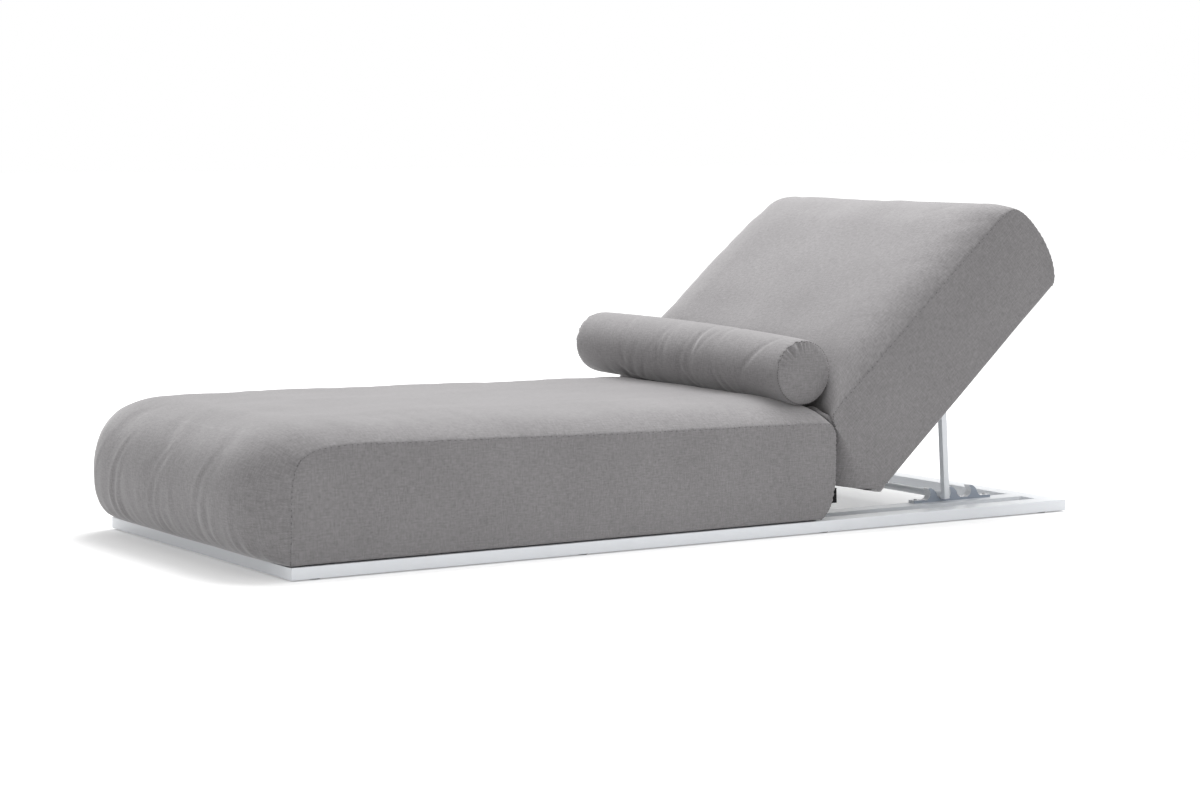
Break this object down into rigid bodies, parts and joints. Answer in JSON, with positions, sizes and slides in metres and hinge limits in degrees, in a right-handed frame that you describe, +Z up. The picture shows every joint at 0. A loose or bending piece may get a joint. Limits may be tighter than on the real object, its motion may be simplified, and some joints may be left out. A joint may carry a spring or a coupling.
{
  "type": "reclining sun lounger",
  "caption": "Low outdoor chaise longue: upholstered seat block and ratchet-propped reclining back on a flat white tube frame, with a loose bolster.",
  "frame": {"origin": "on the floor, at the centre of the lounger's plan outline", "axes": "+Y along the length towards the head end, +X to the left of a person lying on it face up with the head at +Y, +Z up"},
  "size_m": [0.9, 2.082, 0.7231],
  "materials": {
    "white_frame": "white powder coat",
    "grey_racks": "grey powder coat",
    "steel_fittings": "brushed",
    "deck_board": "painted board",
    "grey_fabric": "heathered grey woven outdoor fabric",
    "cushion_filling": "open-cell foam",
    "black_tab": "black woven ribbon",
    "black_rubber": "moulded",
    "white_nylon": "moulded nylon"
  },
  "bodies": {
    "base": {"foot_rail": "white_frame", "head_rail": "white_frame", "outer_rail_left": "white_frame", "outer_rail_right": "white_frame", "inner_rail_left": "white_frame", "inner_rail_right": "white_frame", "cross_rail_front": "white_frame", "cross_rail_rear": "white_frame", "floor_glides": "black_rubber", "seat_deck": "deck_board", "seat_deck_rivets": "steel_fittings", "seat_foam": "cushion_filling", "seat_cover": "grey_fabric", "label_tab": "black_tab", "seat_hinge_leaf_left": "steel_fittings", "seat_hinge_leaf_right": "steel_fittings", "hinge_pin_left": "steel_fittings", "hinge_pin_right": "steel_fittings", "seat_leaf_screws": "steel_fittings", "ratchet_rack_left": "grey_racks", "ratchet_rack_right": "grey_racks", "rack_screws": "steel_fittings"},
    "back": {"back_rail_left": "white_frame", "back_rail_right": "white_frame", "back_rail_lower": "white_frame", "back_rail_upper": "white_frame", "back_deck": "deck_board", "back_deck_rivets": "steel_fittings", "back_foam": "cushion_filling", "back_cover": "grey_fabric", "back_hinge_leaf_left": "steel_fittings", "back_hinge_leaf_right": "steel_fittings", "back_leaf_screws": "steel_fittings", "prop_lug_left": "white_frame", "prop_lug_right": "white_frame"},
    "prop": {"prop_leg_left": "white_frame", "prop_leg_right": "white_frame", "prop_caps": "black_rubber", "prop_bushes": "white_nylon", "prop_foot_bar": "white_frame", "prop_head_bar": "white_frame"},
    "bolster": {"bolster_cover": "grey_fabric", "bolster_core": "cushion_filling"}
  },
  "joints": [
    {"name": "back_recline", "type": "hinge", "parent": "base", "child": "back", "pos_m": [0, 0.375, 0.217], "axis": [1, 0, 0], "range_deg": [-42, 0]},
    {"name": "prop_fold", "type": "hinge", "parent": "base", "child": "prop", "pos_m": [0, 0.7785, 0.0423], "axis": [1, 0, 0], "range_deg": [-93.5, 0]},
    {"name": "bolster_lift", "type": "slide", "parent": "base", "child": "bolster", "axis": [0, 0, 1], "range_m": [0, 0.25]}
  ],
  "couplings": [
    {"joint": "prop_fold", "follows": "back_recline", "ratio": 2.2262}
  ]
}
